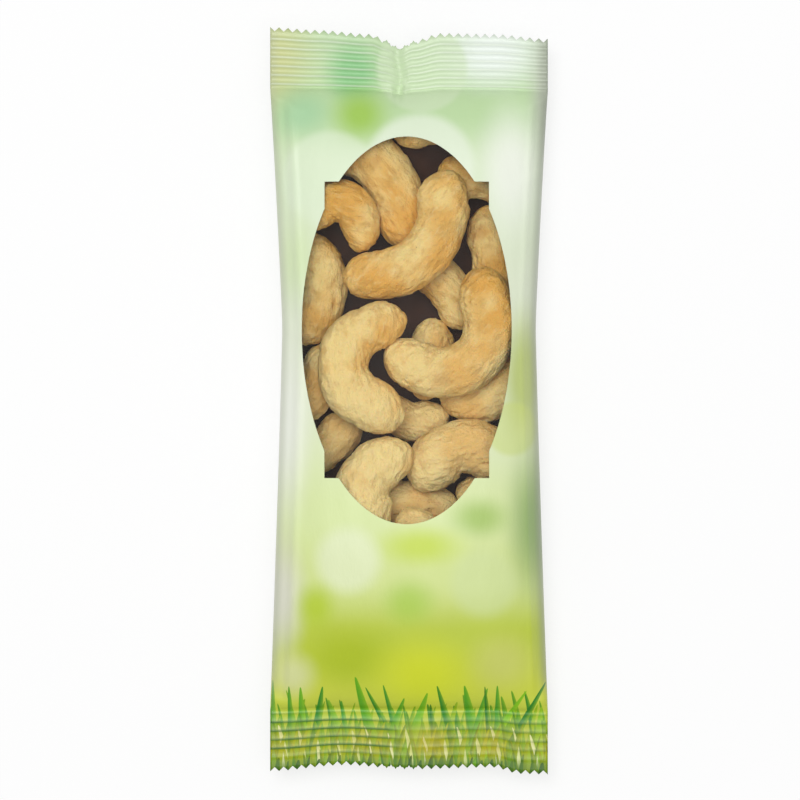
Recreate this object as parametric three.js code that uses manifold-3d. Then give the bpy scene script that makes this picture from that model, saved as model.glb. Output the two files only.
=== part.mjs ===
// A flow-wrapped snack bag with cashew kernels in it, lying on its back on a table.
//
// One sheet of film is folded to a tube, welded along the back into a fin that is folded flat, and crimped
// shut at both ends, where it is cut off with a toothed knife. The front has a clear window in its print.
// Millimetres. +X is to the right across the front, +Y runs up to the end with the crease, +Z points out
// of the front. The origin lies under the middle of the bag, on the table.

import * as THREE from 'three';
import { mergeVertices } from 'three/addons/utils/BufferGeometryUtils.js';
import Module from 'manifold-3d';

const wasm = await Module();
wasm.setup();

// Overall sizes of the bag
const BAG_LENGTH = 161.6;
const SEAL_WIDTH = 60;
const WAIST_WIDTH = 54.8;
const WAIST_Y = 16;
const BAG_DEPTH = 22;
const SEAL_HEIGHT = 8.5;

// How square the bag's fullness is along its length and across its width
const FULLNESS_POWER = 2.8;
const CROWN_POWER = 3;

// Film and its welds
const FILM_THICKNESS = 0.3;
const TOP_SEAL_LENGTH = 13;
const BOTTOM_SEAL_LENGTH = 13.6;
const RIB_PITCH = 1.95;
const RIB_HEIGHT = 0.45;
const TOOTH_PITCH = 1.875;
const TOOTH_DEPTH = 0.9;
const FIN_WIDTH = 10;
const FIN_ROOT_X = -3.2;
const FIN_THICKNESS = 0.6;
const FIN_BITE = 0.27;

// The crease in the middle of the top seal, where the knife and the jaws meet the four layers of the fin
const CREASE_X = -2;
const CREASE_HALF_WIDTH = 5;
const CREASE_DEPTH = 1;

// The knife's two cuts, as they lie across the bag: how far each stays inside the bag's full length
const TOP_CUT = [
  [-30, 0], [-20, 0.6], [-8, 1.5], [-5.4, 2.6], [-2, 4.2], [1, 2.9], [7, 1.3], [18, 1.5], [30, 2.5],
];
const BOTTOM_CUT = [[-30, 0.7], [-14, 2], [0, 1.1], [18, 1.5], [24, 0.1], [30, 0]];

// The window in the print: an oval with a rectangle laid over it, whose corners stand out of the oval
const WINDOW_X = -0.5;
const WINDOW_Y = 15.2;
const WINDOW_WIDTH = 45;
const WINDOW_LENGTH = 83;
const WINDOW_BLOCK_WIDTH = 35.2;
const WINDOW_BLOCK_LENGTH = 63.4;

// Clearances
const PANE_GAP = 0.3;
const KERNEL_GAP = 0.3;
const WALL_GAP = 0.5;

// Fineness of the curved surfaces
const FRONT_COLUMNS = 14;
const BODY_STATIONS = 20;
const OVAL_STEPS = 44;
const KERNEL_SIDES = 8;

// A kernel is a bent, tapered capsule, flatter than it is wide
const KERNEL_FLATNESS = 0.8;
const KERNEL_TAPER = 0.1;

// Every kernel, as [x, y, way that its back points in degrees, length and bend of its middle line, girth].
// The lower ones lie on the back film, the upper ones on them, where they fill the window.
const LOWER_KERNELS = [
  [-5.5, 45, 36, 20, 73, 11.7],
  [4, 57, 83, 13, 61, 9.5],
  [15.5, 44, 76, 10, 41, 9.5],
  [19, 33.5, 7, 9, 44, 10.8],
  [6.5, 28, 41, 12, 44, 9.3],
  [6.5, 8.5, -7, 8.5, 49, 8.6],
  [-20.5, 4.5, -27, 9, 24, 9],
  [17, -0.5, -67, 9.5, 85, 10.8],
  [1.5, -4, -101, 7.5, 71, 8.2],
  [-17, -9.5, -45, 7, 21, 8.6],
  [2.5, -21.5, 90, 10, 56, 9.5],
  [17.5, -22.5, 60, 8, 50, 8.6],
  [-18.5, 22.5, -3, 13.5, 77, 11.2],
];
const UPPER_KERNELS = [
  [-12.8, 42, 69, 14.5, 150, 9],
  [3.5, 32, -43, 27, 106, 10.8],
  [15, 8.5, -48, 30.5, 162, 11.4],
  [-12, 9, 178, 26, 165, 11.2],
  [-8.5, -14.5, 161, 14, 103, 11.7],
  [10.5, -9, 97, 15.5, 106, 11.7],
];
// These lie under the print, where no one sees them
const COVERED_KERNELS = [
  [-16, -32, 195, 17, 110, 10.2],
  [3, -37, 250, 18, 105, 10.4],
  [15, -41, 15, 17, 120, 10],
  [-11, -48, 120, 18, 110, 10.4],
  [6, -55, 300, 17, 100, 10],
  [-17, -57, 210, 12, 80, 9.4],
];

// How the kernels are shaken down: all the rounds, and the first of them, in which they sink a step and are
// pulled back towards their places in the lists. Each kind gives way sideways by a share of a push.
const SETTLING_ROUNDS = 1000;
const SHAKING_ROUNDS = 600;
const SINKING_STEP = 0.02;
const PULL = 0.08;
const UPPER_YIELD = 0.3;
const LOWER_YIELD = 0.8;
const COVERED_YIELD = 1;
const BEAD_STEPS = 8;

const SEAL_THICKNESS = 2 * FILM_THICKNESS;
const BODY_TOP = BAG_LENGTH / 2 - TOP_SEAL_LENGTH;
const BODY_BOTTOM = BOTTOM_SEAL_LENGTH - BAG_LENGTH / 2;
const FRONT_RISE = BAG_DEPTH - SEAL_HEIGHT - SEAL_THICKNESS / 2;
const radians = THREE.MathUtils.degToRad;

// Shape of the bag

/** How full the bag is at y: 1 around its middle, falling to 0 at both seals. */
function fullness(y) {
  const middle = (BODY_TOP + BODY_BOTTOM) / 2;
  const along = Math.min(1, Math.abs(y - middle) / ((BODY_TOP - BODY_BOTTOM) / 2));
  return (1 - along ** FULLNESS_POWER) ** 0.7;
}

/** How full the section is at a share of its half width: 1 in the middle, 0 at the folded edges. */
function crown(share) {
  return Math.sqrt(1 - Math.min(1, Math.abs(share)) ** CROWN_POWER);
}

/** Half the bag's width at y: the filling draws the flat tube in towards the waist. */
function halfWidth(y) {
  const reach = y > WAIST_Y ? BODY_TOP - WAIST_Y : WAIST_Y - BODY_BOTTOM;
  const towardsSeal = Math.min(1, Math.abs(y - WAIST_Y) / reach);
  return THREE.MathUtils.lerp(WAIST_WIDTH, SEAL_WIDTH, towardsSeal ** 1.15) / 2;
}

/** Rise and fall of the sheet that the jaws' ribs press into both seals. */
function ribWave(y) {
  const inSeal = Math.max(y - BODY_TOP, BODY_BOTTOM - y);
  return inSeal > 0 ? (RIB_HEIGHT / 2) * Math.cos((2 * Math.PI * inSeal) / RIB_PITCH) : 0;
}

/** How far the crease sinks the sheet of the top seal. */
function creaseFold(x, y) {
  const intoSeal = Math.min(1, Math.max(0, (y - BODY_TOP) / RIB_PITCH));
  return CREASE_DEPTH * intoSeal * Math.max(0, 1 - Math.abs(x - CREASE_X) / CREASE_HALF_WIDTH);
}

/** Height of the front film's outer face. */
function frontHeight(x, y) {
  const swell = FRONT_RISE * fullness(y) * crown(x / halfWidth(y));
  return SEAL_HEIGHT + SEAL_THICKNESS / 2 + swell + ribWave(y) - creaseFold(x, y);
}

/** Height of the back film's outer face, which the table presses flat. */
function backHeight(x, y) {
  const sag = 1.2 * SEAL_HEIGHT * fullness(y) * crown(x / halfWidth(y));
  const hanging = SEAL_HEIGHT - SEAL_THICKNESS / 2 - sag;
  return Math.max(FIN_THICKNESS, hanging) + ribWave(y) - creaseFold(x, y);
}

// Solids

/** A closed geometry as a solid that can be joined and cut. */
function toSolid(geometry) {
  const bare = geometry.clone();
  bare.deleteAttribute('normal');
  bare.deleteAttribute('uv');
  const merged = mergeVertices(bare, 1e-5);
  const vertProperties = new Float32Array(merged.getAttribute('position').array);
  const triVerts = new Uint32Array(merged.index.array);
  return new wasm.Manifold(new wasm.Mesh({ numProp: 3, vertProperties, triVerts }));
}

/** A solid as a geometry for a mesh. */
function toGeometry(solid) {
  const { vertProperties, triVerts } = solid.getMesh();
  const geometry = new THREE.BufferGeometry();
  geometry.setAttribute('position', new THREE.BufferAttribute(new Float32Array(vertProperties), 3));
  geometry.setIndex(new THREE.BufferAttribute(new Uint32Array(triVerts), 1));
  geometry.computeVertexNormals();
  return geometry;
}

/** Moves each vertex of a geometry to the place that a function gives it. */
function reshape(geometry, place) {
  const position = geometry.getAttribute('position');
  const vertex = new THREE.Vector3();
  for (let i = 0; i < position.count; i += 1) {
    vertex.fromBufferAttribute(position, i);
    place(vertex);
    position.setXYZ(i, vertex.x, vertex.y, vertex.z);
  }
  return geometry;
}

/** A slab between two height functions, with a grid line at each share of the width and at each station. */
function slab(shares, stations, half, front, back) {
  const columns = shares.length - 1;
  const rows = stations.length - 1;
  const sheet = new THREE.BoxGeometry(columns, rows, 2, columns, rows, 1);
  return toSolid(reshape(sheet, (vertex) => {
    const y = stations[Math.round(vertex.y + rows / 2)];
    const x = shares[Math.round(vertex.x + columns / 2)] * half(y);
    const z = vertex.z > 0 ? front(x, y) : back(x, y);
    vertex.set(x, y, z);
  }));
}

/** An upright block with the outline of a shape, between two heights. */
function block(shape, bottom, top) {
  const options = { depth: top - bottom, bevelEnabled: false, curveSegments: OVAL_STEPS };
  return toSolid(new THREE.ExtrudeGeometry(shape, options).translate(0, 0, bottom));
}

/** Evenly spaced numbers from first to last, closer together at both ends. */
function closerAtEnds(first, last, steps) {
  const places = [];
  for (let i = 0; i <= steps; i += 1) {
    const share = (1 - Math.cos((Math.PI * i) / steps)) / 2;
    places.push(THREE.MathUtils.lerp(first, last, share));
  }
  return places;
}

// Film

/** Stations across one seal, two to a rib, from the body out past the knife's cut. */
function sealStations(start, length, direction) {
  const stations = [];
  for (let i = 1; i <= Math.ceil((2 * length) / RIB_PITCH) + 1; i += 1) {
    stations.push(start + (direction * i * RIB_PITCH) / 2);
  }
  return stations;
}

/** The grid lines that run along the bag, as shares of its half width: three of them follow the crease. */
function widthShares() {
  const creaseShares = [-1, 0, 1].map((side) => (2 * (CREASE_X + side * CREASE_HALF_WIDTH)) / SEAL_WIDTH);
  const shares = closerAtEnds(-1, 1, FRONT_COLUMNS).filter((share) => (
    creaseShares.every((crease) => Math.abs(share - crease) > 0.05)
  ));
  return [...shares, ...creaseShares].sort((a, b) => a - b);
}

/** The closed outer form of the tube with its two seals, before the ends are cut. */
function outerForm() {
  const bottom = sealStations(BODY_BOTTOM, BOTTOM_SEAL_LENGTH, -1).reverse();
  const body = closerAtEnds(BODY_BOTTOM, BODY_TOP, BODY_STATIONS);
  const top = sealStations(BODY_TOP, TOP_SEAL_LENGTH, 1);
  return slab(widthShares(), [...bottom, ...body, ...top], halfWidth, frontHeight, backHeight);
}

/** The room inside the tube: its faces keep to the outer form's grid, one film thickness inside it. */
function innerRoom() {
  const stations = closerAtEnds(BODY_BOTTOM, BODY_TOP, BODY_STATIONS).slice(1, -1);
  const shares = widthShares().slice(1, -1);
  const half = (y) => halfWidth(y) - FILM_THICKNESS;
  const outward = (x, y) => (x * halfWidth(y)) / half(y);
  const front = (x, y) => frontHeight(outward(x, y), y) - FILM_THICKNESS;
  const back = (x, y) => backHeight(outward(x, y), y) + FILM_THICKNESS;
  return slab(shares, stations, half, front, back);
}

/** The back weld, folded flat against the back from seal to seal. */
function finStrip() {
  const run = closerAtEnds(BODY_BOTTOM, BODY_TOP, BODY_STATIONS);
  const stations = [-BAG_LENGTH / 2, ...run, BODY_TOP + RIB_PITCH, BAG_LENGTH / 2];
  const creaseEdge = CREASE_X + CREASE_HALF_WIDTH;
  const lines = [FIN_ROOT_X, CREASE_X, creaseEdge, FIN_ROOT_X + FIN_WIDTH];
  const sheet = (x, y) => backHeight(x, y) - ribWave(y);
  const back = (x, y) => sheet(x, y) - FIN_THICKNESS;
  const front = (x, y) => sheet(x, y) + FIN_BITE;
  return slab(lines, stations, () => 1, front, back);
}

/** A toothed cut's points from left to right: a zigzag that follows the way the cut lies. */
function toothedCut(cut, direction) {
  const line = new THREE.SplineCurve(cut.map(([x, inset]) => new THREE.Vector2(x, inset)));
  const points = [];
  const halfTeeth = 2 * Math.round(SEAL_WIDTH / TOOTH_PITCH);
  for (let i = 0; i <= halfTeeth; i += 1) {
    const share = i / halfTeeth;
    const x = (share - 0.5) * (SEAL_WIDTH + TOOTH_PITCH);
    const inset = line.getPoint(share).y + (i % 2) * TOOTH_DEPTH;
    points.push(new THREE.Vector2(x, direction * (BAG_LENGTH / 2 - inset)));
  }
  return points;
}

/** A block that covers all of the bag that the knife leaves. */
function knifeBlock() {
  const outline = [...toothedCut(BOTTOM_CUT, -1), ...toothedCut(TOP_CUT, 1).reverse()];
  return block(new THREE.Shape(outline), -1, BAG_DEPTH + 1);
}

/** A block over the window, smaller all round by a margin. */
function windowBlock(margin) {
  const oval = new THREE.Shape();
  oval.absellipse(WINDOW_X, WINDOW_Y, WINDOW_WIDTH / 2 - margin, WINDOW_LENGTH / 2 - margin, 0, 2 * Math.PI);
  const across = WINDOW_BLOCK_WIDTH / 2 - margin;
  const along = WINDOW_BLOCK_LENGTH / 2 - margin;
  const corners = [[-1, -1], [1, -1], [1, 1], [-1, 1]];
  const rectangle = new THREE.Shape(corners.map(([right, up]) => (
    new THREE.Vector2(WINDOW_X + right * across, WINDOW_Y + up * along)
  )));
  return block(oval, SEAL_HEIGHT, BAG_DEPTH + 1).add(block(rectangle, SEAL_HEIGHT, BAG_DEPTH + 1));
}

const tube = outerForm().subtract(innerRoom());

/** The printed film: the whole wrapper but for its window. */
function printedFilm() {
  const wrapper = tube.add(finStrip()).intersect(knifeBlock()).subtract(windowBlock(0));
  const material = new THREE.MeshStandardMaterial({ color: 0xc6dfa6, roughness: 0.38, metalness: 0 });
  const mesh = new THREE.Mesh(toGeometry(wrapper), material);
  mesh.name = 'printed_film';
  return mesh;
}

/** The clear, unprinted part of the front. */
function clearWindow() {
  const pane = tube.intersect(windowBlock(PANE_GAP));
  const material = new THREE.MeshStandardMaterial({
    color: 0xf4f4ee, roughness: 0.08, metalness: 0, transparent: true, opacity: 0.15,
  });
  const mesh = new THREE.Mesh(toGeometry(pane), material);
  mesh.name = 'clear_window';
  return mesh;
}

// Kernels

/** Bends a point of a straight kernel, whose middle line runs along y, round the centre of its bend. */
function bend(point, length, angle) {
  const radius = length / angle;
  const turn = point.y / radius;
  const out = radius + point.x;
  return point.set(out * Math.cos(turn) - radius, out * Math.sin(turn), point.z);
}

/** A kernel's share of its girth at a place along it: one lobe is fatter than the other. */
function taper(y, length) {
  return 1 + (KERNEL_TAPER * y) / length;
}

/** A kernel of the list, with the beads along its middle line by which it feels its neighbours. */
function makeKernel([x, y, facing, length, bendAngle, girth], height, sideways) {
  const beads = [];
  for (let i = 0; i <= BEAD_STEPS; i += 1) {
    const along = (i / BEAD_STEPS - 0.5) * length;
    const centre = bend(new THREE.Vector3(0, along, 0), length, radians(bendAngle));
    centre.applyAxisAngle(new THREE.Vector3(0, 0, 1), radians(facing));
    beads.push({ centre, radius: (girth / 2) * taper(along, length) });
  }
  const at = new THREE.Vector3(x, y, height);
  return { at, home: at.clone(), facing, length, bendAngle, girth, sideways, beads };
}

/** Moves a kernel by a push, giving way sideways only as far as its kind does. */
function shove(kernel, push, share) {
  kernel.at.x += push.x * share * kernel.sideways;
  kernel.at.y += push.y * share * kernel.sideways;
  kernel.at.z += push.z * share;
}

/** Pushes two kernels apart where their beads are closest, if they are closer than the gap. */
function keepApart(one, other) {
  const reach = one.length + other.length + one.girth + other.girth;
  if (one.at.distanceTo(other.at) > reach / 2) return;
  const apart = new THREE.Vector3();
  const push = new THREE.Vector3();
  let deepest = 0;
  for (const a of one.beads) {
    for (const b of other.beads) {
      apart.copy(a.centre).add(one.at).sub(b.centre).sub(other.at);
      apart.z /= KERNEL_FLATNESS;
      const depth = a.radius + b.radius + KERNEL_GAP - apart.length();
      if (depth > deepest) {
        deepest = depth;
        push.copy(apart).setLength(depth);
      }
    }
  }
  shove(one, push, 0.5);
  shove(other, push, -0.5);
}

const FEELERS = [];
for (const x of [-1, 0, 1]) {
  for (const y of [-1, 0, 1]) {
    for (const z of [-1, 0, 1]) {
      if (x || y || z) FEELERS.push(new THREE.Vector3(x, y, z).normalize());
    }
  }
}

/** Pushes a kernel back inside the film where it reaches through it. */
function keepInside(kernel) {
  const touch = new THREE.Vector3();
  const push = new THREE.Vector3();
  const margin = FILM_THICKNESS + WALL_GAP;
  for (const bead of kernel.beads) {
    for (const feeler of FEELERS) {
      touch.copy(feeler).multiplyScalar(bead.radius);
      touch.z *= KERNEL_FLATNESS;
      touch.add(bead.centre).add(kernel.at);
      const over = touch.z - (frontHeight(touch.x, touch.y) - margin);
      const under = backHeight(touch.x, touch.y) + margin - touch.z;
      const depth = Math.max(over, under);
      if (depth > 0) shove(kernel, push.copy(feeler).negate(), depth * 0.4);
    }
  }
}

/** Lets a kernel sink a little, and pulls it back towards where the list has it. */
function shake(kernel) {
  kernel.at.x += PULL * (kernel.home.x - kernel.at.x);
  kernel.at.y += PULL * (kernel.home.y - kernel.at.y);
  kernel.at.z -= SINKING_STEP;
}

/** Lets all kernels settle from the places in the lists until each lies clear of its neighbours. */
function settle(kernels) {
  for (let round = 0; round < SETTLING_ROUNDS; round += 1) {
    kernels.forEach((one, i) => {
      kernels.slice(i + 1).forEach((other) => keepApart(one, other));
    });
    kernels.forEach(keepInside);
    if (round < SHAKING_ROUNDS) kernels.forEach(shake);
  }
  return kernels;
}

/** The mesh of one kernel, bent, turned and placed. */
function kernelMesh(kernel, index) {
  const { length, girth, bendAngle, facing, at } = kernel;
  const capsule = new THREE.CapsuleGeometry(girth / 2, length, 3, KERNEL_SIDES, 5);
  reshape(capsule, (vertex) => {
    const swell = taper(vertex.y, length);
    vertex.x *= swell;
    vertex.z *= swell * KERNEL_FLATNESS;
    bend(vertex, length, radians(bendAngle));
  });
  capsule.rotateZ(radians(facing));
  const material = new THREE.MeshStandardMaterial({ color: 0xd8a860, roughness: 0.55, metalness: 0 });
  const mesh = new THREE.Mesh(toGeometry(toSolid(capsule)), material);
  mesh.position.copy(at);
  mesh.name = `cashew_${String(index + 1).padStart(2, '0')}`;
  return mesh;
}

/** All the kernels in the bag. */
function filling() {
  const lowerHeight = FIN_THICKNESS + 5.5;
  const upperHeight = BAG_DEPTH - 5.5;
  const middleHeight = BAG_DEPTH / 2;
  const kernels = [
    ...LOWER_KERNELS.map((row) => makeKernel(row, lowerHeight, LOWER_YIELD)),
    ...UPPER_KERNELS.map((row) => makeKernel(row, upperHeight, UPPER_YIELD)),
    ...COVERED_KERNELS.map((row) => makeKernel(row, middleHeight, COVERED_YIELD)),
  ];
  return settle(kernels).map(kernelMesh);
}

const snackBag = new THREE.Group();
snackBag.add(printedFilm(), clearWindow(), ...filling());
const extent = new THREE.Box3().setFromObject(snackBag);
snackBag.position.set(-(extent.min.x + extent.max.x) / 2, -(extent.min.y + extent.max.y) / 2, -extent.min.z);

export default snackBag;
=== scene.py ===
import math

import bmesh
import bpy
from mathutils import Matrix, Vector, noise


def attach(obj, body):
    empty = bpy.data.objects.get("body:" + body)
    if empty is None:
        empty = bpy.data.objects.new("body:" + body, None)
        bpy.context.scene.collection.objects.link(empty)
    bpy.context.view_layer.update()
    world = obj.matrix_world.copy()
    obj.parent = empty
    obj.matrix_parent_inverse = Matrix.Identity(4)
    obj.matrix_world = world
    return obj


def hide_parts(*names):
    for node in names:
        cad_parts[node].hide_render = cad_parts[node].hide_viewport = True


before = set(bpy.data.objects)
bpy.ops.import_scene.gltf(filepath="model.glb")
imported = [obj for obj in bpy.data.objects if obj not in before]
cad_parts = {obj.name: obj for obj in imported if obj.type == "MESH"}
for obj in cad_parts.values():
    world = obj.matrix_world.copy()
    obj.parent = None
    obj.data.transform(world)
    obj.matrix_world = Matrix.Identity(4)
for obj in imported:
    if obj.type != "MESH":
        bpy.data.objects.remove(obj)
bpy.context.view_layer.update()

# The wrapper is one web of printed laminate, folded to a tube and crimped shut at both ends. The filling
# swells it to a pillow that narrows at its waist. Lengths here are in millimetres until a mesh is finished.
MM = 0.001
BAG_LENGTH = 161.6
BAG_DEPTH = 22.0
SEAL_WIDTH = 60.0
WAIST_WIDTH = 54.8
WAIST_Y = 16.0
SEAL_HEIGHT = 8.5
WELD_THICKNESS = 0.6
FIN_THICKNESS = 0.6
TOP_SEAL_LENGTH = 13.0
BOTTOM_SEAL_LENGTH = 13.6
BODY_TOP = BAG_LENGTH / 2 - TOP_SEAL_LENGTH
BODY_BOTTOM = BOTTOM_SEAL_LENGTH - BAG_LENGTH / 2
FRONT_RISE = BAG_DEPTH - SEAL_HEIGHT - WELD_THICKNESS / 2
BACK_SAG = 1.2 * SEAL_HEIGHT
END_TAPER = 2.8
END_ROUNDING = 0.7
CROWN_POWER = 3
WAIST_CURVE = 1.15
LAMINATE = 0.1


def lerp(a, b, share):
    return a + (b - a) * share


def smooth(low, high, value):
    share = min(1.0, max(0.0, (value - low) / (high - low)))
    return share * share * (3 - 2 * share)


def hump(distance, spread):
    """A bell of height 1, which is all but gone two spreads away."""
    return math.exp(-((distance / spread) ** 2))


def fullness(y):
    """How far the filling swells the bag at y: 0 at the welds, 1 in the middle."""
    middle = (BODY_TOP + BODY_BOTTOM) / 2
    along = min(1.0, abs(y - middle) / ((BODY_TOP - BODY_BOTTOM) / 2))
    return (1 - along**END_TAPER) ** END_ROUNDING


def crown(share):
    """The round of the film across the bag: 1 in the middle, 0 at both edges."""
    return math.sqrt(1 - min(1.0, abs(share)) ** CROWN_POWER)


def half_width(y):
    """Half the bag's width at y, narrowest at the waist."""
    reach = BODY_TOP - WAIST_Y if y > WAIST_Y else WAIST_Y - BODY_BOTTOM
    return lerp(WAIST_WIDTH, SEAL_WIDTH, min(1.0, abs(y - WAIST_Y) / reach) ** WAIST_CURVE) / 2


# The jaws press ribs into both welds, and the knife that parts the bags leaves a toothed edge. At the top
# end the four layers of the fin pucker the weld, so its edge and its ribs dip to a crease in the middle.
RIB_PITCH = 1.95
RIB_PHASE = 0.35
RIB_HEIGHT = 0.45
LOW_RIB_HEIGHT = 0.16
PLAIN_BAND = 2.4
TOOTH_DEPTH = 0.9
HALF_TEETH = 62
CREASE_X = -2.2
CREASE_SWAY = 0.4
CREASE_FOLDS = ((0, -0.55, 1.0), (0, -0.55, 3.2), (1.7, 0.25, 0.9))  # right of the crease, height, spread
KNOTS = (  # right of the crease, above the weld's start, height, spread across and along
    (1.2, 0.8, 0.6, 0.7, 1.6), (-1.6, 0.2, 0.45, 0.7, 2.0),
)
TOP_CUT = (  # x, how far the cut stays inside the full length
    (-30, 0), (-20, 0.6), (-8, 1.5), (-5.4, 2.6), (-2, 4.2), (1, 2.9), (7, 1.3), (18, 1.5), (30, 2.5),
)
BOTTOM_CUT = ((-30, 0.7), (-14, 2), (0, 1.1), (18, 1.5), (24, 0.1), (30, 0))


def inset(cut, x):
    """How far a cut stays inside the bag's full length at x, eased between the points of its line."""
    for (x0, d0), (x1, d1) in zip(cut, cut[1:]):
        if x <= x1:
            return lerp(d0, d1, smooth(x0, x1, x))
    return cut[-1][1]


def ridge(x, y):
    """The ribs pressed into both welds, 0 to 1: narrow ridges, with a plain band left along the cut."""
    into, length = (y - BODY_TOP, TOP_SEAL_LENGTH) if y > 0 else (BODY_BOTTOM - y, BOTTOM_SEAL_LENGTH)
    if into <= 0:
        return 0.0
    wave = (0.5 + 0.5 * math.cos(2 * math.pi * (into / RIB_PITCH - RIB_PHASE))) ** 3
    calm = 1 - 0.5 * hump(x - CREASE_X, 3) if y > 0 else 1 - 0.55 * hump(x - 1, 4)
    return calm * wave * smooth(0, 0.6, into) * (1 - smooth(0, 0.8, into - length + PLAIN_BAND))


def weld_relief(x, y):
    """Ribs, crease and puckers of the two welds, which front and back film share."""
    right = x - CREASE_X
    up = y - BODY_TOP
    relief = (RIB_HEIGHT if y > 0 else LOW_RIB_HEIGHT) * ridge(x, y)
    sway = right - CREASE_SWAY * math.sin(up / 2.4)
    for place, height, spread in CREASE_FOLDS:
        relief += smooth(-5, 1, up) * height * hump(sway - place, spread)
    for place, rise, height, across, along in KNOTS:
        relief += height * hump(right - place, across) * hump(up - rise, along)
    return relief


SLACK = ((0.35, 10, 26, 1.7), (0.12, 4, 9, 6.1))  # height, wave across and along, place in the noise
EDGE_FOLDS = (  # side, place in from the edge, height, spread: long folds that follow both edges
    (-1, 4.2, 0.55, 0.9), (-1, 2.6, -0.3, 0.8), (1, 3.2, 0.3, 0.6), (1, 2.2, -0.25, 0.6),
)
TUCK_SLOPE = 0.45
TUCK_SPREAD = (5, 1.1)  # in from the edge and along it
TUCKS = (  # side, place along the edge, depth: short folds that run in from the film's edges
    (-1, 65.8, 1.2), (1, 65.8, 1.0), (1, 49, 0.7), (1, 17, 1.0),
    (-1, 16, 0.9), (-1, -16, 0.5), (-1, -64.2, 0.9), (1, -64.2, 0.8),
)


def film_ease(x, y):
    """Soft unevenness of limp film over its filling: long folds beside both edges and slack between."""
    half = half_width(y)
    within = smooth(BODY_BOTTOM, BODY_BOTTOM + 8, y) * (1 - smooth(BODY_TOP - 8, BODY_TOP, y))
    slack = sum(height * noise.noise(Vector((x / wide, y / long, at))) for height, wide, long, at in SLACK)
    folds = 0.0
    for side, inward, height, spread in EDGE_FOLDS:
        folds += height * hump(x - side * (half - inward), spread)
    tucks = 0.0
    for side, at, depth in TUCKS:
        inward = x - side * half
        along = y - at - TUCK_SLOPE * side * inward
        tucks += depth / 2 * hump(inward, TUCK_SPREAD[0]) * hump(along, TUCK_SPREAD[1])
    return within * (slack + folds) + tucks


def front_height(x, y):
    """Where the front film lies: on the filling, and one laminate under the weld's face at the ends."""
    swell = FRONT_RISE * fullness(y) * crown(x / half_width(y))
    return SEAL_HEIGHT + WELD_THICKNESS / 2 - LAMINATE + swell + weld_relief(x, y) + film_ease(x, y)


def back_height(x, y):
    """Where the back film lies. The flat fin under its middle keeps it off the table."""
    sag = BACK_SAG * fullness(y) * crown(x / half_width(y))
    hanging = SEAL_HEIGHT - WELD_THICKNESS / 2 + LAMINATE - sag
    return max(FIN_THICKNESS, hanging + weld_relief(x, y))


CREASE_REACH = 4
ROWS_TO_A_RIB = 6
BODY_ROWS = 150
TOOTH_CLEARANCE = 0.25
BODY_BOW = 0.35
BOW_FADING = 2.2


def width_shares():
    """Columns across the film, one at each tooth and gap, with more at the crease and along the edges."""
    shares = []
    for i in range(HALF_TEETH):
        share = 2 * i / HALF_TEETH - 1
        by_crease = abs(share * SEAL_WIDTH / 2 - CREASE_X) < CREASE_REACH
        parts = 3 if by_crease else 2 if abs(share) > 0.8 else 1
        shares += [(share + 2 * k / (parts * HALF_TEETH), i if k == 0 else None) for k in range(parts)]
    return shares + [(1.0, HALF_TEETH)]


def length_stations():
    """Rows along the film: six to a rib in the welds, and about a millimetre apart in the body."""
    step = RIB_PITCH / ROWS_TO_A_RIB
    last = TOOTH_DEPTH + TOOTH_CLEARANCE
    stations = [-BAG_LENGTH / 2]
    y = last - BAG_LENGTH / 2
    while y < BODY_BOTTOM - step / 2:
        stations.append(y)
        y += step
    for i in range(BODY_ROWS + 1):
        even = i / BODY_ROWS
        closer_at_ends = (1 - math.cos(math.pi * even)) / 2
        stations.append(lerp(BODY_BOTTOM, BODY_TOP, (even + closer_at_ends) / 2))
    y = BODY_TOP + step
    while y < BAG_LENGTH / 2 - last:
        stations.append(y)
        y += step
    return stations + [BAG_LENGTH / 2]


def settle_place(share, tooth, y):
    """Where a film point lies in plan: rows bow with the cut, and the last row follows the knife's teeth."""
    x = share * half_width(y)
    cut = TOP_CUT if y > 0 else BOTTOM_CUT
    side = 1 if y > 0 else -1
    if abs(y) >= BAG_LENGTH / 2 - 1e-6:
        if tooth is None:
            toothing = TOOTH_DEPTH / 2
        else:
            toothing = TOOTH_DEPTH * (tooth % 2)
        return x, side * (BAG_LENGTH / 2 - inset(cut, x) - toothing)
    weld_start = BODY_TOP if y > 0 else -BODY_BOTTOM
    into = (abs(y) - weld_start) / (BAG_LENGTH / 2 - weld_start)
    bow = lerp(BODY_BOW, 1, into) if into > 0 else BODY_BOW * math.exp(into * BOW_FADING)
    return x, y - side * bow * inset(cut, x)


def film_sheet(bm, height, shares, stations):
    """A grid of film points laid over the bag. Layers keep each point's rib and its share of the width."""
    ribs = bm.verts.layers.float["rib"]
    across = bm.verts.layers.float["across"]
    made = bmesh.ops.create_grid(bm, x_segments=len(shares) - 1, y_segments=len(stations) - 1, size=1)
    for vert in made["verts"]:
        share, tooth = shares[round((vert.co.x + 1) / 2 * (len(shares) - 1))]
        y = stations[round((vert.co.y + 1) / 2 * (len(stations) - 1))]
        x, lies = settle_place(share, tooth, y)
        vert.co = Vector((x, lies, height(x, y)))
        vert[ribs] = ridge(x, y)
        vert[across] = share
    return made["verts"]


# The window is left clear when the web is printed: an oval with a block over it, whose four corners stand
# out of the oval. The film is cut along its outline, and the clear part is a piece of its own.
WINDOW_MIDDLE = (-0.5, 15.2)
OVAL_HALF = (22.5, 41.5)
BLOCK_HALF = (17.6, 31.7)
OUTLINE_REACH = 3
HALVINGS = 20


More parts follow.
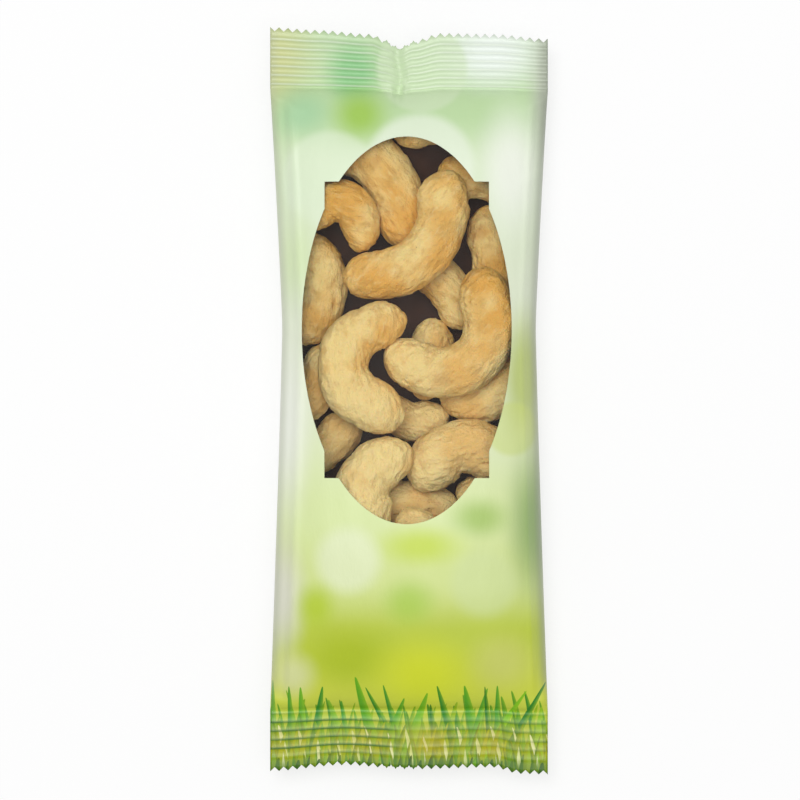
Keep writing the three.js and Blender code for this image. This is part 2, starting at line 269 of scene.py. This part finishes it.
def outside_window(x, y):
    """Below 0 inside the window, 0 on its outline, above 0 on the print; roughly in millimetres."""
    u, v = x - WINDOW_MIDDLE[0], y - WINDOW_MIDDLE[1]
    oval = (math.hypot(u / OVAL_HALF[0], v / OVAL_HALF[1]) - 1) * OVAL_HALF[0]
    block = max(abs(u) - BLOCK_HALF[0], abs(v) - BLOCK_HALF[1])
    return min(oval, block)


def window_corners():
    """The block's corners, and where its sides run into the oval."""
    a, b = OVAL_HALF
    bx, by = BLOCK_HALF
    side_y = b * math.sqrt(1 - (bx / a) ** 2)
    end_x = a * math.sqrt(1 - (by / b) ** 2)
    for sx in (-1, 1):
        for sy in (-1, 1):
            for u, v in ((bx, by), (bx, side_y), (end_x, by)):
                yield WINDOW_MIDDLE[0] + sx * u, WINDOW_MIDDLE[1] + sy * v


def fit_to_window(bm, verts):
    """Moves front points onto the window's outline, so that no face lies across it."""
    off = {v: outside_window(v.co.x, v.co.y) for v in verts}
    near = [v for v in verts if abs(off[v]) < OUTLINE_REACH]
    for x, y in window_corners():
        nearest = min(near, key=lambda v: (v.co.x - x) ** 2 + (v.co.y - y) ** 2)
        nearest.co = Vector((x, y, front_height(x, y)))
        off[nearest] = 0.0
    for edge in {e for v in near for e in v.link_edges}:
        a, b = edge.verts
        if b not in off or a not in off or off[a] * off[b] >= 0:
            continue
        low, high = (a, b) if off[a] < 0 else (b, a)
        inner, outer = low.co.xy.copy(), high.co.xy.copy()
        share = 0.5
        step = 0.25
        for _ in range(HALVINGS):
            place = inner.lerp(outer, share)
            share += step if outside_window(place.x, place.y) < 0 else -step
            step /= 2
        moved = low if share < 0.5 else high
        moved.co = Vector((place.x, place.y, front_height(place.x, place.y)))
        off[moved] = 0.0
    for face in {f for v in near for f in v.link_faces}:
        sides = [off.get(v, 0) for v in face.verts]
        on_line = [v for v in face.verts if off.get(v) == 0]
        if min(sides) < 0 < max(sides) and len(on_line) == 2:
            bmesh.ops.connect_verts(bm, verts=on_line)
    return off


def is_clear(face, off):
    """Whether a face lies in the window."""
    if not all(v in off for v in face.verts):
        return False
    middle = face.calc_center_median()
    return outside_window(middle.x, middle.y) < 0


def finished(name, bm, to_metres=True):
    """A mesh object of a bmesh, in metres, smooth but for its cut edges, standing at the origin."""
    if to_metres:
        bmesh.ops.scale(bm, vec=(MM, MM, MM), verts=bm.verts)
    for edge in bm.edges:
        edge.smooth = not edge.is_boundary
    mesh = bpy.data.meshes.new(name)
    bm.to_mesh(mesh)
    bm.free()
    for polygon in mesh.polygons:
        polygon.use_smooth = True
    piece = bpy.data.objects.new(name, mesh)
    bpy.context.scene.collection.objects.link(piece)
    return piece


def wrapper_pieces():
    """The printed film and the clear window, cut from one tube of film."""
    bm = bmesh.new()
    mark = bm.faces.layers.int.new("clear")
    bm.verts.layers.float.new("rib")
    bm.verts.layers.float.new("across")
    shares, stations = width_shares(), length_stations()
    front = film_sheet(bm, front_height, shares, stations)
    back = film_sheet(bm, back_height, shares, stations)
    under = set(back)
    bmesh.ops.reverse_faces(bm, faces=[f for f in bm.faces if f.verts[0] in under])
    bmesh.ops.bridge_loops(bm, edges=[e for e in bm.edges if e.is_boundary])
    off = fit_to_window(bm, front)
    for face in bm.faces:
        face[mark] = int(is_clear(face, off))
    pane = bm.copy()
    layer = pane.faces.layers.int["clear"]
    bmesh.ops.delete(pane, geom=[f for f in pane.faces if not f[layer]], context="FACES")
    bmesh.ops.delete(bm, geom=[f for f in bm.faces if f[mark]], context="FACES")
    return bm, pane


def give_wall(piece, inner_material):
    """Gives an open sheet the laminate's thickness, inwards, and its inner face one of its materials."""
    wall = piece.modifiers.new("laminate", "SOLIDIFY")
    wall.thickness = LAMINATE * MM
    wall.offset = -1
    wall.use_even_offset = False
    wall.material_offset = inner_material
    return piece


film_mesh, pane_mesh = wrapper_pieces()
film = give_wall(finished("wrapper_film", film_mesh), 1)
pane = give_wall(finished("window_film", pane_mesh), 0)


# The print is a soft, out-of-focus garden: pale greens with blurred light discs, yellow-green towards the
# bottom, and a band of sharp grass blades along the lower end.
def linear(colour):
    """A written colour, such as 9ec26c, as the numbers that a shader takes."""
    parts = [int(colour[i:i + 2], 16) / 255 for i in (0, 2, 4)]
    return tuple(c / 12.92 if c <= 0.04045 else ((c + 0.055) / 1.055) ** 2.4 for c in parts) + (1.0,)


class Value:
    """A socket in a shader. Sums on it add Math nodes."""

    def __init__(self, finish, socket):
        self.finish, self.socket = finish, socket

    def maths(self, operation, *others, clamp=False):
        return self.finish.node("ShaderNodeMath", {"operation": operation, "use_clamp": clamp}, {
            i: other for i, other in enumerate((self, *others))})

    def __add__(self, other):
        return self.maths("ADD", other)

    def __mul__(self, other):
        return self.maths("MULTIPLY", other)

    def __sub__(self, other):
        return self.maths("SUBTRACT", other)

    def __rsub__(self, other):
        return self.maths("MULTIPLY", -1.0).maths("ADD", other)

    def __truediv__(self, other):
        return self.maths("DIVIDE", other)

    def __pow__(self, other):
        return self.maths("POWER", other)

    def __abs__(self):
        return self.maths("ABSOLUTE")

    __radd__ = __add__
    __rmul__ = __mul__

    def ramp(self, low, high, start=0.0, end=1.0):
        """One number below low, another above high, and an eased change between."""
        sockets = {"Value": self, "From Min": low, "From Max": high, "To Min": start, "To Max": end}
        return self.finish.node("ShaderNodeMapRange", {"interpolation_type": "SMOOTHSTEP"}, sockets)


class Finish:
    """A material being written: its nodes, its point on the surface in millimetres, and its shader."""

    def __init__(self, name):
        self.material = bpy.data.materials.new(name)
        self.material.use_nodes = True
        self.tree = self.material.node_tree
        self.shader = self.tree.nodes["Principled BSDF"]
        place = self.node("ShaderNodeTexCoord", output="Object")
        self.point = self.node("ShaderNodeVectorMath", {"operation": "SCALE"}, {0: place, "Scale": 1 / MM})
        parts = self.node("ShaderNodeSeparateXYZ", {}, {0: self.point}).socket.node.outputs
        self.x, self.y, self.z = (Value(self, part) for part in parts)
        self.place = self.node("ShaderNodeCombineXYZ", {}, {0: self.x, 1: self.y, 2: self.z})

    def node(self, kind, settings=None, sockets=None, output=0):
        """Any node: first its settings, or a ramp's stops, then the values and links of its sockets."""
        made = self.tree.nodes.new(kind)
        for key, value in (settings or {}).items():
            if key == "stops":
                self.set_stops(made.color_ramp, value)
            else:
                setattr(made, key, value)
        for key, value in (sockets or {}).items():
            self.feed(made.inputs[key], value)
        return Value(self, made.outputs[output])

    def set_stops(self, ramp, stops):
        """Gives a colour ramp its stops, from the one at 0 to the one at 1."""
        ramp.interpolation = "EASE"
        ramp.elements[0].color = stops[0][1]
        ramp.elements[1].color = stops[-1][1]
        for place, colour in stops[1:-1]:
            ramp.elements.new(place).color = colour

    def feed(self, socket, value):
        """Links a value to a socket, or sets the socket to a plain number or colour."""
        if isinstance(value, Value):
            self.tree.links.new(value.socket, socket)
        else:
            socket.default_value = value

    def blend(self, share, under, over):
        """Colour over laid on colour under by a share."""
        sockets = {"Factor": share, 6: under, 7: over}
        return self.node("ShaderNodeMix", {"data_type": "RGBA"}, sockets, output=2)

    def vector(self, operation, *others, output=0):
        """Vector maths on the surface point, put together again from its x, y and z."""
        sockets = {i: other for i, other in enumerate((self.place, *others))}
        return self.node("ShaderNodeVectorMath", {"operation": operation}, sockets, output)

    def along(self, x, y, start):
        """How far the surface point lies along a direction, from a start."""
        return self.vector("DOT_PRODUCT", (x, y, 0), output=1) - (x * start[0] + y * start[1])

    def layer(self, name, output="Fac"):
        """A layer that the mesh was given point by point."""
        return self.node("ShaderNodeAttribute", {"attribute_name": name}, output=output)

    def noise(self, scale, detail=2.0, stretch=(1, 1, 1), roughness=0.5, place=None):
        """Noise over the surface, in waves to a millimetre, or over another place."""
        sockets = {0: place or self.point, 1: stretch}
        spread = self.node("ShaderNodeVectorMath", {"operation": "MULTIPLY"}, sockets)
        return self.node("ShaderNodeTexNoise", {}, {
            "Vector": spread, "Scale": scale, "Detail": detail, "Roughness": roughness})

    def chance(self, value, seed):
        """A number from 0 to 1 for each whole value, steady but as if random: what a large sine leaves."""
        wave = ((value + seed * 17.31) * 12.9898).maths("SINE")
        return (wave * 43758.5).maths("FRACT")

    def bump(self, height, distance, strength=1.0):
        """A normal for a relief that is distance millimetres high where height is 1."""
        return self.node("ShaderNodeBump", {}, {
            "Height": height, "Distance": distance * MM, "Strength": strength})


def disc(finish, x, y, rx, ry, softness, strength):
    """How much an oval patch covers, with an edge that blurs over a share of its radius."""
    from_middle = finish.vector("MULTIPLY_ADD", (1 / rx, 1 / ry, 0), (-x / rx, -y / ry, 0))
    reach = finish.node("ShaderNodeVectorMath", {"operation": "LENGTH"}, {0: from_middle}, output=1)
    return reach.ramp(1 - softness, 1, strength, 0)


BACKGROUND = (  # height on the bag, colour
    (-80, "a9b83a"), (-62, "c8d246"), (-50, "bccc48"), (-38, "d2e092"), (-24, "d8e6a8"),
    (0, "e0e9c8"), (25, "e0e9cf"), (50, "d6e6c2"), (62, "bcd8a4"), (80, "bcd4a8"),
)
PATCHES = (  # x, y, half width, half height, blur, colour, strength
    # The patches at x -27 and -28 are painted light along the left side wall. Those at x 27.5 and 30 are
    # painted shade along the right side wall.
    (-30, 74, 14, 16, 0.9, "c6cb8e", 1.0), (-12, 71, 8, 9.5, 0.8, "86c283", 0.9),
    (18, 75, 17, 11, 0.9, "e6eee6", 1.0), (-23, 62, 9, 8, 0.9, "9ccba0", 0.65),
    (2.8, 71.8, 10.5, 10.5, 0.15, "cddfbb", 0.7), (-10.6, 61.5, 8.5, 8.5, 0.9, "a1c85c", 1.0),
    (30, 66, 6, 26, 0.9, "b9bdb0", 0.85), (-17, 47.5, 11.5, 11.5, 0.2, "dfecd2", 0.5),
    (2.4, 50, 13, 13, 0.22, "e6efdc", 0.7), (22, 49, 10, 20, 0.9, "f0f4e8", 0.9),
    (-24, 30, 7, 14, 0.9, "d2e4b2", 0.8), (25, 5, 7, 19, 0.8, "bac872", 0.9),
    (-27, -4, 8, 30, 0.9, "eef1e6", 0.9), (22, -6, 6.5, 6.5, 0.25, "ccd97c", 0.6),
    (27.5, -26, 9, 22, 0.9, "8cab66", 0.9), (15, -25, 9, 6, 0.9, "a9c76c", 0.9),
    (2.4, -31, 13, 6, 0.9, "c6da50", 0.9), (-13, -34, 9, 9, 0.5, "e4ecca", 0.65),
    (16, -39, 9, 9, 0.45, "d0dfa4", 0.5), (-28, -42, 8, 19, 0.9, "dcdccc", 0.95),
    (-20, -44, 6, 7, 0.9, "b4cc30", 0.85), (0, -43, 8, 7, 0.9, "a6cb48", 0.7),
    (-13, -55, 16, 10, 0.9, "aec126", 0.95), (3, -59, 15, 12, 0.9, "d0da2c", 0.95),
    (20, -56, 10, 9, 0.9, "c8ce6a", 0.85), (-25, -59, 7, 7, 0.9, "d6daa4", 0.8),
)
BLADES = (  # root, tip, width at the root, colour: the leaves that stand out of the band
    ((-6.6, -78), (-11.6, -59.2), 3.2, "58a412"), ((-4.6, -71), (-9.4, -61.6), 1.5, "34881c"),
    ((-1.6, -76), (-5.6, -61), 1.9, "3c9024"), ((-0.4, -76), (4.0, -62.8), 2.8, "6cb010"),
    ((-5.2, -76), (-1.0, -64), 2.4, "58a418"), ((10, -75), (6.0, -61.2), 2.2, "34881c"),
    ((14.6, -74), (11.9, -61.2), 2.8, "50a018"), ((13.6, -75), (16.9, -61.8), 2.0, "58a424"),
    ((17.6, -74), (16.3, -61.4), 1.6, "2c7c1c"), ((19.4, -74), (19.0, -61.2), 2.0, "4c9c24"),
    ((13, -81), (25.4, -62.4), 2.3, "7cbc14"), ((20, -78), (29.6, -60.6), 2.1, "2c8020"),
    ((-20.8, -77), (-18.6, -61.4), 2.6, "308820"), ((-25.2, -76), (-25.9, -61.4), 2.0, "4c9826"),
    ((-22.8, -75), (-23.4, -61.6), 2.4, "62aa20"), ((-29.2, -77), (-29.4, -60.2), 1.8, "68a034"),
    ((-14.2, -74), (-17.4, -64.4), 2.1, "78b024"), ((-13.2, -75), (-14.6, -64.6), 1.8, "449826"),
    ((6.0, -77), (4.6, -65.4), 2.0, "2c7a1c"), ((27.6, -78), (28.6, -66), 2.6, "8cbc18"),
)
BACK_TURF = (  # cell width, root, reach, lean, leaf width as a share of the cell, dark and light green
    (2.7, -79, 17, 2.6, 0.44, "2e8220", "86b818"), (2.2, -79, 15, -2.4, 0.46, "4c9414", "9cbc14"),
)
FRONT_TURF = (  # the second row is the pale ground that glints between the stems
    (2.9, -82, 16, 2.2, 0.42, "226c0c", "7cb008"), (3.9, -79.5, 9.5, 1.8, 0.2, "eaeeb8", "ccd880"),
    (2.3, -82, 13, -2.6, 0.42, "447c04", "a0b404"), (1.9, -83, 10, 1.6, 0.36, "346e04", "98ac04"),
    (2.2, -83, 7, -0.8, 0.46, "184c10", "5c8010"),
)


def blade(finish, root, tip, width):
    """A single leaf from root to tip, which narrows in a curve to its point."""
    dx = tip[0] - root[0]
    dy = tip[1] - root[1]
    length = math.dist(root, tip)
    up = finish.along(dx / length**2, dy / length**2, root)
    across = finish.along(2 * dy / (length * width), -2 * dx / (length * width), root)
    narrowing = up.maths("MULTIPLY", -1.0).maths("ADD", 1.0, clamp=True) ** 0.6
    side = abs(across) / (narrowing + 0.03)
    inside = up.ramp(-0.02, 0.02) * up.ramp(0.98, 1.0, 1, 0)
    return inside * side.ramp(0.85, 1.05, 1, 0), across


def turf(finish, colour, row, seed):
    """One row of grass laid over a colour: a leaf in each cell, with its own size, place and green."""
    cell, root, reach, lean, share, dark, light = row
    rise = (finish.y - root) / reach
    bent = finish.x / cell + (rise * rise) * (lean / cell) + seed * 0.37
    which = bent.maths("FLOOR")
    luck = finish.chance(which, seed)
    tall = 0.66 + 0.34 * luck
    up = (rise / tall).maths("MAXIMUM", 0.0)
    freedom = (up * 0.6 + 0.4) * (1.5 * (0.5 - share))
    middle = bent - which - 0.5 + (finish.chance(which, seed + 5) - 0.5) * freedom
    taper = (1 - up.maths("MINIMUM", 1.0)) ** 0.5
    width = taper * (finish.chance(which, seed + 3) * share * 0.6 + share * 0.5) + 0.004
    side = middle / width
    leaf = abs(side).ramp(0.8, 1.05, 1, 0) * up.ramp(0.97, 1.0, 1, 0) * rise.ramp(-0.05, 0.2)
    green = finish.blend(finish.chance(which, seed + 9), linear(dark), linear(light))
    lit = finish.blend(side.ramp(-0.2, 0.5, 0, 0.5), green, linear(light))
    lit = finish.blend(side.ramp(-0.95, -0.5, 0.6, 0), lit, linear(dark))
    return finish.blend(leaf, colour, lit)


def print_colour(finish):
    """The whole print, from its soft ground to the leaves in front."""
    low, high = BACKGROUND[0][0], BACKGROUND[-1][0]
    stops = [((height - low) / (high - low), linear(tone)) for height, tone in BACKGROUND]
    rise = (finish.y - low) / (high - low)
    colour = finish.node("ShaderNodeValToRGB", {"stops": stops}, {0: rise})
    for x, y, rx, ry, blur, tone, strength in PATCHES:
        colour = finish.blend(disc(finish, x, y, rx, ry, blur, strength), colour, linear(tone))
    behind_grass = finish.y.ramp(-70, -64, 0.6, 0)
    colour = finish.blend(behind_grass, colour, linear("a6be2c"))
    for seed, row in enumerate(BACK_TURF):
        colour = turf(finish, colour, row, seed + 1)
    for root, tip, width, tone in BLADES:
        leaf, across = blade(finish, root, tip, width)
        shade = finish.blend(across.ramp(-0.3, 0.6, 0, 0.45), linear(tone), linear("a4cc20"))
        shade = finish.blend(across.ramp(-0.9, -0.4, 0.5, 0), shade, linear("1c5c18"))
        colour = finish.blend(leaf, colour, shade)
    for seed, row in enumerate(FRONT_TURF):
        colour = turf(finish, colour, row, seed + 11)
    warm = finish.y.ramp(-78.5, -75) * finish.y.ramp(-73, -68, 1, 0)
    drift = finish.noise(0.12, 2, stretch=(1, 0.3, 1)).ramp(0.35, 0.65)
    colour = finish.blend(warm * (0.25 + 0.35 * drift), colour, linear("b8a400"))
    foot = finish.y.ramp(-79.6, -76.2, 1, 0) * (0.45 + 0.3 * drift)
    return finish.blend(foot, colour, linear("3c6818"))


def painted_rib_and_edge_shading(finish, colour):
    """Painted light and shade over the print: a painted highlight on the crests of the upper weld's ribs,
    painted shade on the ribs of the lower weld, and painted shade along both side edges of the body.
    """
    ribs = finish.layer("rib")
    across = finish.layer("across")
    # Painted highlight: the crests of the upper weld's ribs are whitened.
    above = ribs.ramp(0.25, 0.95, 0, 0.4) * finish.y.ramp(60, 68)
    colour = finish.blend(above, colour, linear("f0fae6"))
    # Painted shade: the lower weld's ribs are darkened, most on the left, less on the right, not in the
    # middle, and unevenly along them.
    sides = finish.x.ramp(-5, -1, 0.85, 0) + finish.x.ramp(5, 9, 0, 0.5)
    below = ribs.ramp(0.2, 0.9) * finish.y.ramp(-77, -75) * finish.y.ramp(-69, -67, 1, 0.2)
    fading = finish.noise(0.16, 3, stretch=(0.5, 1, 1)).ramp(0.3, 0.6, 0.3, 1)
    colour = finish.blend(below * sides * fading, colour, linear("2c6408"))
    # Painted shade along the right edge of the body, and a weaker one along the left edge.
    body = finish.y.ramp(-66, -58)
    colour = finish.blend(across.ramp(0.9, 0.99, 0, 0.5) * body, colour, linear("8c9282"))
    return finish.blend(across.ramp(-0.99, -0.92, 0.4, 0) * body, colour, linear("b4bb9c"))


def film_print():
    """Satin laminate: the print under a clear top layer, with the fine creases of handled film."""
    finish = Finish("film_print")
    shader = finish.shader.inputs
    finish.feed(shader["Base Color"], painted_rib_and_edge_shading(finish, print_colour(finish)))
    streaks = finish.noise(0.5, 3, stretch=(1, 0.16, 1))
    finish.feed(shader["Roughness"], 0.34 + 0.14 * streaks)
    crinkle = finish.noise(0.22, 4, stretch=(1, 0.45, 1), roughness=0.6)
    finish.feed(shader["Normal"], finish.bump(crinkle + 0.12 * streaks, 0.6, 0.35))
    shader["Specular IOR Level"].default_value = 0.35
    shader["Coat Weight"].default_value = 0.08
    shader["Coat Roughness"].default_value = 0.2
    return finish.material


def film_inside_painted_shade():
    """The inner face of the print, painted dark warm brown as the shade inside the bag, in smears that are
    lighter and rougher in places.
    """
    finish = Finish("film_inside_painted_shade")
    shader = finish.shader.inputs
    smears = finish.noise(0.18, 4, roughness=0.6)
    # Painted shade: the inner face is dark brown so that the gaps between the kernels look shaded.
    finish.feed(shader["Base Color"], finish.blend(smears, linear("2c140a"), linear("4c2a14")))
    finish.feed(shader["Roughness"], 0.55 + 0.25 * smears)
    shader["Specular IOR Level"].default_value = 0.15
    finish.feed(shader["Normal"], finish.bump(smears, 0.5, 0.3))
    return finish.material


film.data.materials.append(film_print())
film.data.materials.append(film_inside_painted_shade())
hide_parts("printed_film")
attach(film, "root")


# The unprinted window is the bare laminate of the same web. It is all but invisible from above, and takes a
# soft shine at a low angle.
def clear_film():
    """Bare laminate: next to no body, slightly wavy, with more shine where it is seen at a low angle."""
    finish = Finish("film_clear")
    shader = finish.shader.inputs
    shader["Base Color"].default_value = (0.96, 0.96, 0.93, 1)
    waves = finish.noise(0.15, 2, stretch=(1, 0.5, 1))
    finish.feed(shader["Roughness"], 0.12 + 0.1 * waves)
    facing = finish.node("ShaderNodeLayerWeight", {}, {"Blend": 0.5}, output=1)
    finish.feed(shader["Alpha"], 0.005 + 0.01 * waves + 0.35 * facing ** 4)
    finish.feed(shader["Normal"], finish.bump(waves, 0.8, 0.3))
    return finish.material


pane.data.materials.append(clear_film())
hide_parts("clear_window")
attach(pane, "root")

# The back weld: the two edges of the web are sealed face to face to a fin, which is folded flat against
# the back and runs from one cut to the other. The bag lies on it.
FIN_ROOT_X = -3.2
FIN_WIDTH = 10.0
FIN_INSET = 4.6
FIN_COLUMNS = 12
FIN_ROWS = 120
FOLD_RISE = 0.1
FOLD_SHARE = 0.06


def fin_piece():
    """A thin strip that keeps to the back film, with a rounded fold at its root."""
    bm = bmesh.new()
    bmesh.ops.create_grid(bm, x_segments=FIN_COLUMNS, y_segments=FIN_ROWS, size=1)
    for vert in bm.verts:
        across = (vert.co.x + 1) / 2
        y = vert.co.y * (BAG_LENGTH / 2 - FIN_INSET)
        x = FIN_ROOT_X + across * FIN_WIDTH
        fold = FOLD_RISE * hump(across, FOLD_SHARE)
        vert.co = Vector((x, y, back_height(x, y) - FIN_THICKNESS + fold))
    bmesh.ops.reverse_faces(bm, faces=bm.faces)
    strip = finished("back_fin", bm)
    wall = strip.modifiers.new("weld", "SOLIDIFY")
    wall.thickness = FIN_THICKNESS * MM * 0.95
    wall.offset = -1
    return strip


fin = fin_piece()
fin.data.materials.append(film.data.materials[0])
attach(fin, "root")


# The kernels are roasted cashews, each grown as a bent seed in two halves. Their form and place are the
# packed ones; here they get their lobes, dents, wrinkles and toasted skin.
SKIN_RISE = 0.65
FILM_CLEARANCE = 0.45
LUMPS = ((0.42, 6.5), (0.22, 3))  # height, size
WRINKLE_DEPTH = 0.7
WRINKLE_SIZE = (3.0, 1.3, 1.3)
FINER_LEVELS = 3
GRAIN_STEP = 37.0


def kernel_piece(node):
    """A kernel's packed form, refined and worked over with lumps and wrinkles along its own axes."""
    bm = bmesh.new()
    bm.from_mesh(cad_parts[node].data)
    bmesh.ops.remove_doubles(bm, verts=bm.verts, dist=1e-6)
    bmesh.ops.recalc_face_normals(bm, faces=bm.faces)
    mesh = bpy.data.meshes.new(node)
    bm.to_mesh(mesh)
    bm.free()
    rough = bpy.data.objects.new(node, mesh)
    bpy.context.scene.collection.objects.link(rough)
    finer = rough.modifiers.new("finer", "SUBSURF")
    finer.levels = FINER_LEVELS
    finer.render_levels = FINER_LEVELS
    fine = bpy.data.meshes.new_from_object(rough.evaluated_get(bpy.context.evaluated_depsgraph_get()))
    bpy.data.objects.remove(rough)
    bm = bmesh.new()
    bm.from_mesh(fine)
    bm.normal_update()
    places = [vert.co / MM for vert in bm.verts]
    middle = sum(places, Vector()) / len(places)
    end = max(places, key=lambda place: (place - middle).length)
    other = max(places, key=lambda place: (place - end).length)
    along = (end - other).normalized()
    beside = along.cross(Vector((0, 0, 1))).normalized()
    own_axes = Matrix((along, beside, along.cross(beside)))
    apart = Vector((int(node[-2:]) * GRAIN_STEP, 0, 0))
    grain = bm.verts.layers.float_vector.new("grain")
    for vert in bm.verts:
        at = vert.co / MM
        own = own_axes @ (at - middle) + apart
        lumps = sum(height * noise.noise(own / size) for height, size in LUMPS)
        crimped = Vector([part / size for part, size in zip(own, WRINKLE_SIZE)])
        wrinkle = WRINKLE_DEPTH * abs(noise.noise(crimped))
        at += vert.normal * (SKIN_RISE + lumps - wrinkle)
        at.z = min(at.z, front_height(at.x, at.y) - FILM_CLEARANCE)
        at.z = max(at.z, back_height(at.x, at.y) + FILM_CLEARANCE)
        vert.co = at * MM
        vert[grain] = own
    return finished(f"roasted_{node}", bm, to_metres=False)


def kernel_skin():
    """Toasted, faintly oily skin: straw to gold, with fibrous grooves, pale scuffs, toast and specks, and
    painted light that pales the kernels lower in the bag.
    """
    finish = Finish("kernel")
    shader = finish.shader.inputs
    own = finish.layer("grain", "Vector")
    broad = finish.noise(0.09, 2, place=own)
    middle = finish.noise(0.3, 4, roughness=0.6, place=own)
    fibres = finish.noise(0.9, 4, stretch=(0.35, 1, 1), roughness=0.65, place=own)
    fine = finish.noise(2.4, 4, roughness=0.7, place=own)
    colour = finish.blend(broad.ramp(0.38, 0.62), linear("e8ac3e"), linear("f8da8c"))
    colour = finish.blend(middle.ramp(0.48, 0.7) * 0.55, colour, linear("c8922a"))
    colour = finish.blend(fibres.ramp(0.52, 0.7) * 0.4, colour, linear("f6dc9e"))
    colour = finish.blend(fibres.ramp(0.3, 0.42, 0.35, 0), colour, linear("b87c28"))
    toast = finish.noise(0.13, 3, place=own).ramp(0.62, 0.78)
    colour = finish.blend(toast * 0.45, colour, linear("c4842a"))
    scuff = fine.ramp(0.6, 0.72) * finish.noise(0.22, 2, place=own).ramp(0.45, 0.6)
    colour = finish.blend(scuff * 0.55, colour, linear("fbe8bc"))
    speck = finish.noise(1.9, 1, place=own).ramp(0.78, 0.82)
    colour = finish.blend(speck * 0.7, colour, linear("6a3e1a"))
    # Painted light: every kernel is paled a little towards straw, and those lower in the bag more, where the
    # film's shade would darken them.
    painted_fill_light = finish.y.ramp(-14, 24, 0.5, 0.1)
    colour = finish.blend(painted_fill_light, colour, linear("ffe4a0"))
    finish.feed(shader["Base Color"], colour)
    shader["Subsurface Weight"].default_value = 0.3
    shader["Subsurface Radius"].default_value = (1.0, 0.6, 0.25)
    shader["Subsurface Scale"].default_value = 1.5 * MM
    finish.feed(shader["Roughness"], 0.38 + 0.25 * middle)
    relief = middle * 0.4 + fibres * 0.5 + fine * 0.25
    finish.feed(shader["Normal"], finish.bump(relief, 1.5, 1.0))
    return finish.material


skin = kernel_skin()
for node in sorted(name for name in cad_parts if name.startswith("cashew_")):
    kernel = kernel_piece(node)
    kernel.data.materials.append(skin)
    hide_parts(node)
    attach(kernel, "root")


# The stage: a white floor that keeps the bag's soft shadow, a wide soft light above, and the camera
# straight over the bag, at the photograph's scale.
PAPER = (0.93, 0.93, 0.93, 1)
PLAIN_WHITE = 0.75


def white_floor():
    """Matt white paper that is seen as white, and keeps a share of what light and shadow do to it."""
    finish = Finish("floor")
    finish.tree.nodes.remove(finish.shader)
    rays = ("Is Camera Ray", "Is Glossy Ray", "Is Transmission Ray")
    camera, glossy, through = (finish.node("ShaderNodeLightPath", output=ray) for ray in rays)
    seen = camera.maths("MAXIMUM", glossy).maths("MAXIMUM", through)
    paper = finish.node("ShaderNodeBsdfDiffuse", {}, {"Color": PAPER})
    white = finish.node("ShaderNodeEmission")
    surface = finish.node("ShaderNodeMixShader", {}, {0: seen * PLAIN_WHITE, 1: paper, 2: white})
    finish.feed(finish.tree.nodes["Material Output"].inputs["Surface"], surface)
    return finish.material


FLOOR_HALF = 3000
FLOOR_GAP = 0.2
bm = bmesh.new()
bmesh.ops.create_grid(bm, x_segments=1, y_segments=1, size=FLOOR_HALF * MM)
bmesh.ops.translate(bm, vec=(0, 0, -FLOOR_GAP * MM), verts=bm.verts)
floor = finished("floor", bm, to_metres=False)
floor.data.materials.append(white_floor())


LIGHTS = (  # name, place and size in metres, watts
    ("key", (-0.15, 0.24, 1.0), 0.45, 5.4), ("fill", (0.16, -0.1, 1.0), 0.6, 2.0),
)
WORLD_STRENGTH = 0.4


def soft_light(name, place, size, watts):
    """A square soft box that faces the bag."""
    data = bpy.data.lights.new(name, "AREA")
    data.energy = watts
    data.size = size
    lamp = bpy.data.objects.new(name, data)
    lamp.location = place
    lamp.rotation_euler = (-Vector(place)).to_track_quat("-Z", "Y").to_euler()
    bpy.context.scene.collection.objects.link(lamp)


for light in LIGHTS:
    soft_light(*light)

world = bpy.data.worlds.new("studio")
world.use_nodes = True
world.node_tree.nodes["Background"].inputs["Color"].default_value = (1, 1, 1, 1)
world.node_tree.nodes["Background"].inputs["Strength"].default_value = WORLD_STRENGTH
bpy.context.scene.world = world

# The camera looks straight down. The seals, 278 of the photograph's 800 pixels wide, set its height, and the
# photograph's middle lies 9 pixels left of the bag's and just above it.
PHOTO_PIXELS = 800
SEAL_PIXELS = 278
MIDDLE_PIXELS = (-9, 0.75)
PIXEL = SEAL_WIDTH / SEAL_PIXELS * MM
LENS = 180.0
SENSOR = 36.0
SCALE_HEIGHT = 10
camera_data = bpy.data.cameras.new("camera")
camera_data.lens = LENS
camera_data.sensor_width = SENSOR
camera = bpy.data.objects.new("camera", camera_data)
above = PHOTO_PIXELS * PIXEL * LENS / SENSOR + SCALE_HEIGHT * MM
camera.location = (MIDDLE_PIXELS[0] * PIXEL, MIDDLE_PIXELS[1] * PIXEL, above)
bpy.context.scene.collection.objects.link(camera)
bpy.context.scene.camera = camera
bpy.context.scene.view_settings.view_transform = "Standard"
